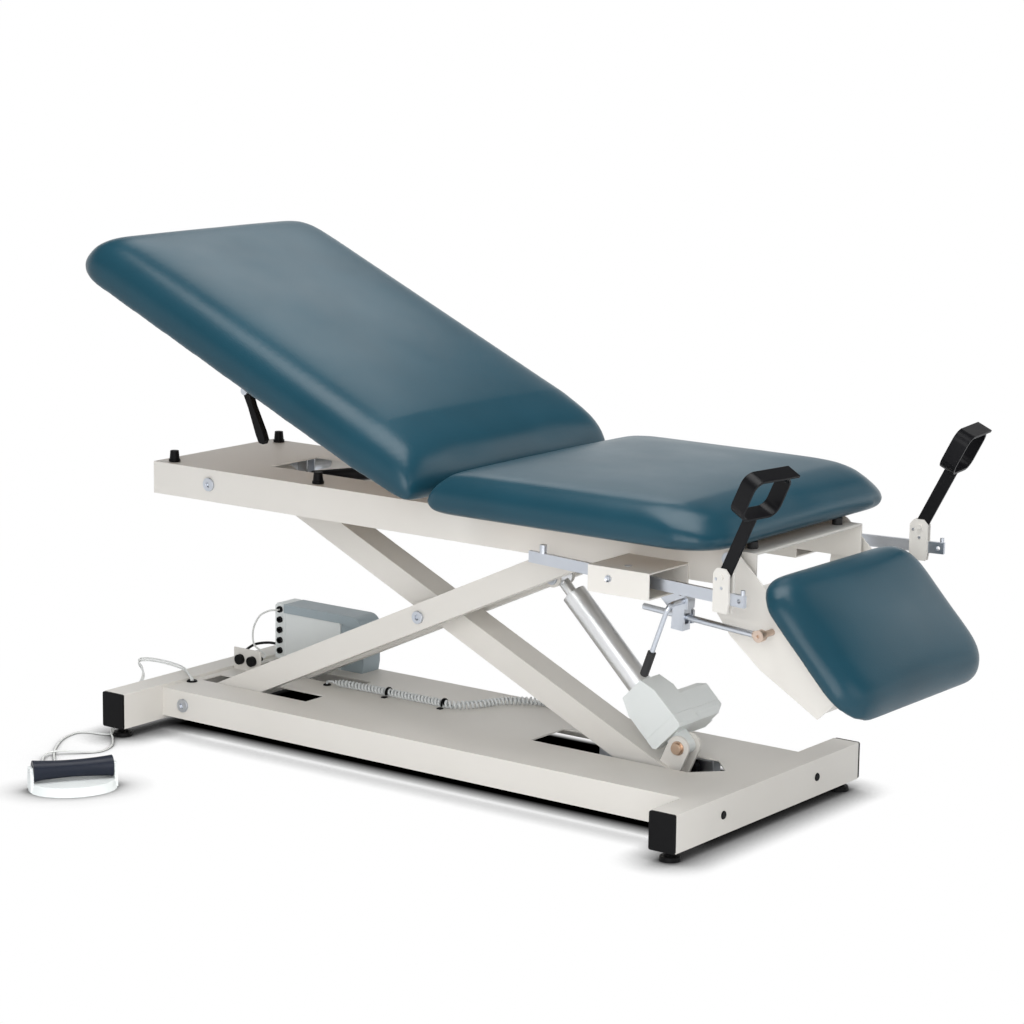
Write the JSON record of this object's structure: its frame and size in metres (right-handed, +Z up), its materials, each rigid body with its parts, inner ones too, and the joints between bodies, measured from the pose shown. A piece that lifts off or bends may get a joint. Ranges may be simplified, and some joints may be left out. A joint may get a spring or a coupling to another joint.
{
  "type": "medical exam table",
  "caption": "Scissor-lift medical exam table with padded seat, raising backrest, folding leg section, swing-out stirrups, lift actuator, control box and foot control.",
  "frame": {"origin": "on the floor under the centre of the base", "axes": "+X towards the foot end, +Y to the far side as pictured, +Z up"},
  "size_m": [1.8603, 1.1366, 1.0351],
  "materials": {
    "beige_powder_coat": "satin",
    "black_plastic": "matte",
    "black_metal": "satin",
    "zinc": "satin",
    "aluminium": "satin",
    "vinyl": "satin",
    "plywood": "matte",
    "pale_plastic": "satin",
    "grey_plastic": "satin",
    "cord_grey": "satin",
    "cord_white": "satin",
    "navy_plastic": "satin"
  },
  "bodies": {
    "base": {"head_crossbar": "beige_powder_coat", "foot_crossbar": "beige_powder_coat", "crossbar_caps": "black_plastic", "levelling_feet": "black_plastic", "base_pan": "beige_powder_coat", "base_tracks": "zinc", "base_axle": "zinc", "control_case": "pale_plastic", "control_lid": "grey_plastic", "control_sockets": "black_plastic", "connector_bracket": "beige_powder_coat", "connector_plugs": "black_plastic", "motor_cord": "cord_grey", "cord_clips": "black_plastic", "link_lead": "black_plastic", "control_cord": "cord_white", "pedal_cord": "cord_white", "pedal_cord_b": "cord_white", "pedal_base": "pale_plastic"},
    "foot_rocker": {"pedal_roller": "navy_plastic"},
    "outer_legs": {"outer_legs": "beige_powder_coat", "upper_axle": "zinc", "centre_bolt": "zinc"},
    "upper_rollers": {"upper_rollers": "black_plastic"},
    "inner_leg": {"inner_leg": "beige_powder_coat", "lower_axle": "zinc"},
    "lower_rollers": {"lower_rollers": "black_plastic"},
    "actuator": {"gear_housing": "pale_plastic", "motor_cover": "pale_plastic", "actuator_tube": "aluminium"},
    "actuator_rod": {"actuator_rod": "aluminium"},
    "top_frame": {"top_pan": "beige_powder_coat", "top_tracks": "zinc", "top_axle": "zinc", "back_bumpers": "black_plastic", "seat_spacers": "beige_powder_coat", "seat_board": "plywood", "seat_cushion": "vinyl", "hinge_brackets": "zinc", "stirrup_boxes": "beige_powder_coat", "clamp_bracket": "zinc", "leg_hinge_bolts": "zinc"},
    "backrest": {"back_board": "plywood", "back_cushion": "vinyl", "back_leaves": "zinc"},
    "release_lever": {"release_lever": "black_plastic"},
    "gas_cylinder": {"gas_cylinder": "black_metal"},
    "gas_rod": {"gas_rod": "zinc"},
    "leg_section": {"leg_tray": "beige_powder_coat", "leg_board": "plywood", "leg_cushion": "vinyl"},
    "support_rod": {"support_rod": "zinc"},
    "rod_clamp": {"clamp_block": "zinc"},
    "clamp_lever": {"clamp_lever": "zinc"},
    "near_guide": {"guide_near": "zinc"},
    "near_bar": {"bar_near": "zinc"},
    "near_arm": {"arm_near": "black_metal"},
    "far_guide": {"guide_far": "zinc"},
    "far_bar": {"bar_far": "zinc"},
    "far_arm": {"arm_far": "black_metal"}
  },
  "joints": [
    {"name": "lift", "type": "hinge", "parent": "base", "child": "outer_legs", "pos_m": [-0.601, 0, 0.06], "axis": [0, -1, 0], "range_deg": [-1.5, 16]},
    {"name": "scissor_centre", "type": "hinge", "parent": "outer_legs", "child": "inner_leg", "pos_m": [-0.05815, 0, 0.31083], "axis": [0, -1, 0], "range_deg": [-33, 4]},
    {"name": "top_pivot", "type": "hinge", "parent": "inner_leg", "child": "top_frame", "pos_m": [-0.5429, 0, 0.53482], "axis": [0, -1, 0], "range_deg": [-2, 17]},
    {"name": "actuator_pivot", "type": "hinge", "parent": "inner_leg", "child": "actuator", "pos_m": [0.517, 0, 0.12274], "axis": [0, -1, 0], "range_deg": [-4, 2]},
    {"name": "actuator_rod_pivot", "type": "hinge", "parent": "outer_legs", "child": "actuator_rod", "pos_m": [0.21531, 0, 0.41516], "axis": [0, -1, 0], "range_deg": [-36, 4]},
    {"name": "upper_roller_spin", "type": "hinge", "parent": "outer_legs", "child": "upper_rollers", "pos_m": [0.4266, 0, 0.53482], "axis": [0, 1, 0], "continuous": true},
    {"name": "lower_roller_spin", "type": "hinge", "parent": "inner_leg", "child": "lower_rollers", "pos_m": [0.4847, 0, 0.06], "axis": [0, 1, 0], "continuous": true},
    {"name": "foot_rocker", "type": "hinge", "parent": "base", "child": "foot_rocker", "pos_m": [-0.486, -0.649, 0.04], "axis": [0.5635, 0.8261, 0], "range_deg": [-8, 8], "stiffness_Nm_per_rad": 3},
    {"name": "backrest_hinge", "type": "hinge", "parent": "top_frame", "child": "backrest", "pos_m": [0.072, 0, 0.596], "axis": [0, 1, 0], "range_deg": [-24, 36]},
    {"name": "gas_cylinder_pivot", "type": "hinge", "parent": "top_frame", "child": "gas_cylinder", "pos_m": [-0.49, 0.058, 0.522], "axis": [0, 1, 0], "range_deg": [-7, 5]},
    {"name": "gas_rod_pivot", "type": "hinge", "parent": "backrest", "child": "gas_rod", "pos_m": [-0.02242, 0.058, 0.6052], "axis": [0, 1, 0], "range_deg": [-43, 29]},
    {"name": "release_lever_pivot", "type": "hinge", "parent": "backrest", "child": "release_lever", "pos_m": [-0.34591, -0.29, 0.76127], "axis": [0, -1, 0], "range_deg": [0, 18], "stiffness_Nm_per_rad": 3},
    {"name": "leg_section_hinge", "type": "hinge", "parent": "top_frame", "child": "leg_section", "pos_m": [0.734, 0, 0.552], "axis": [0, -1, 0], "range_deg": [-15, 47]},
    {"name": "support_rod_eye", "type": "hinge", "parent": "leg_section", "child": "support_rod", "pos_m": [0.829, -0.24, 0.43], "axis": [0, -1, 0], "range_deg": [-20, 7]},
    {"name": "rod_clamp_swivel", "type": "hinge", "parent": "top_frame", "child": "rod_clamp", "pos_m": [0.66, -0.24, 0.44], "axis": [0, -1, 0], "range_deg": [-10, 29]},
    {"name": "clamp_lever_pivot", "type": "hinge", "parent": "rod_clamp", "child": "clamp_lever", "pos_m": [0.67053, -0.27, 0.4733], "axis": [0, -1, 0], "range_deg": [-50, 60]},
    {"name": "near_stirrup_swing", "type": "hinge", "parent": "top_frame", "child": "near_guide", "pos_m": [0.57, -0.2824, 0.505], "axis": [0, 0, -1], "range_deg": [-8.5, 6]},
    {"name": "near_stirrup_slide", "type": "slide", "parent": "near_guide", "child": "near_bar", "axis": [0.989, -0.1478, 0], "range_m": [-0.012, 0.13]},
    {"name": "near_stirrup_fold", "type": "hinge", "parent": "near_bar", "child": "near_arm", "pos_m": [0.79945, -0.31669, 0.548], "axis": [0.1478, 0.989, 0], "range_deg": [0, 63]},
    {"name": "far_stirrup_swing", "type": "hinge", "parent": "top_frame", "child": "far_guide", "pos_m": [0.57, 0.2824, 0.505], "axis": [0, 0, 1], "range_deg": [-8.5, 6]},
    {"name": "far_stirrup_slide", "type": "slide", "parent": "far_guide", "child": "far_bar", "axis": [0.989, 0.1478, 0], "range_m": [-0.05, 0.092]},
    {"name": "far_stirrup_fold", "type": "hinge", "parent": "far_bar", "child": "far_arm", "pos_m": [0.83703, 0.32231, 0.548], "axis": [-0.1478, 0.989, 0], "range_deg": [0, 63]}
  ],
  "couplings": [
    {"joint": "scissor_centre", "follows": "lift", "ratio": -2},
    {"joint": "top_pivot", "follows": "lift", "ratio": 1},
    {"joint": "actuator_pivot", "follows": "lift", "ratio": -0.18},
    {"joint": "actuator_rod_pivot", "follows": "lift", "ratio": -2.18},
    {"joint": "gas_cylinder_pivot", "follows": "backrest_hinge", "ratio": -0.17},
    {"joint": "gas_rod_pivot", "follows": "backrest_hinge", "ratio": -1.17},
    {"joint": "support_rod_eye", "follows": "leg_section_hinge", "ratio": -0.4},
    {"joint": "rod_clamp_swivel", "follows": "leg_section_hinge", "ratio": 0.6}
  ]
}
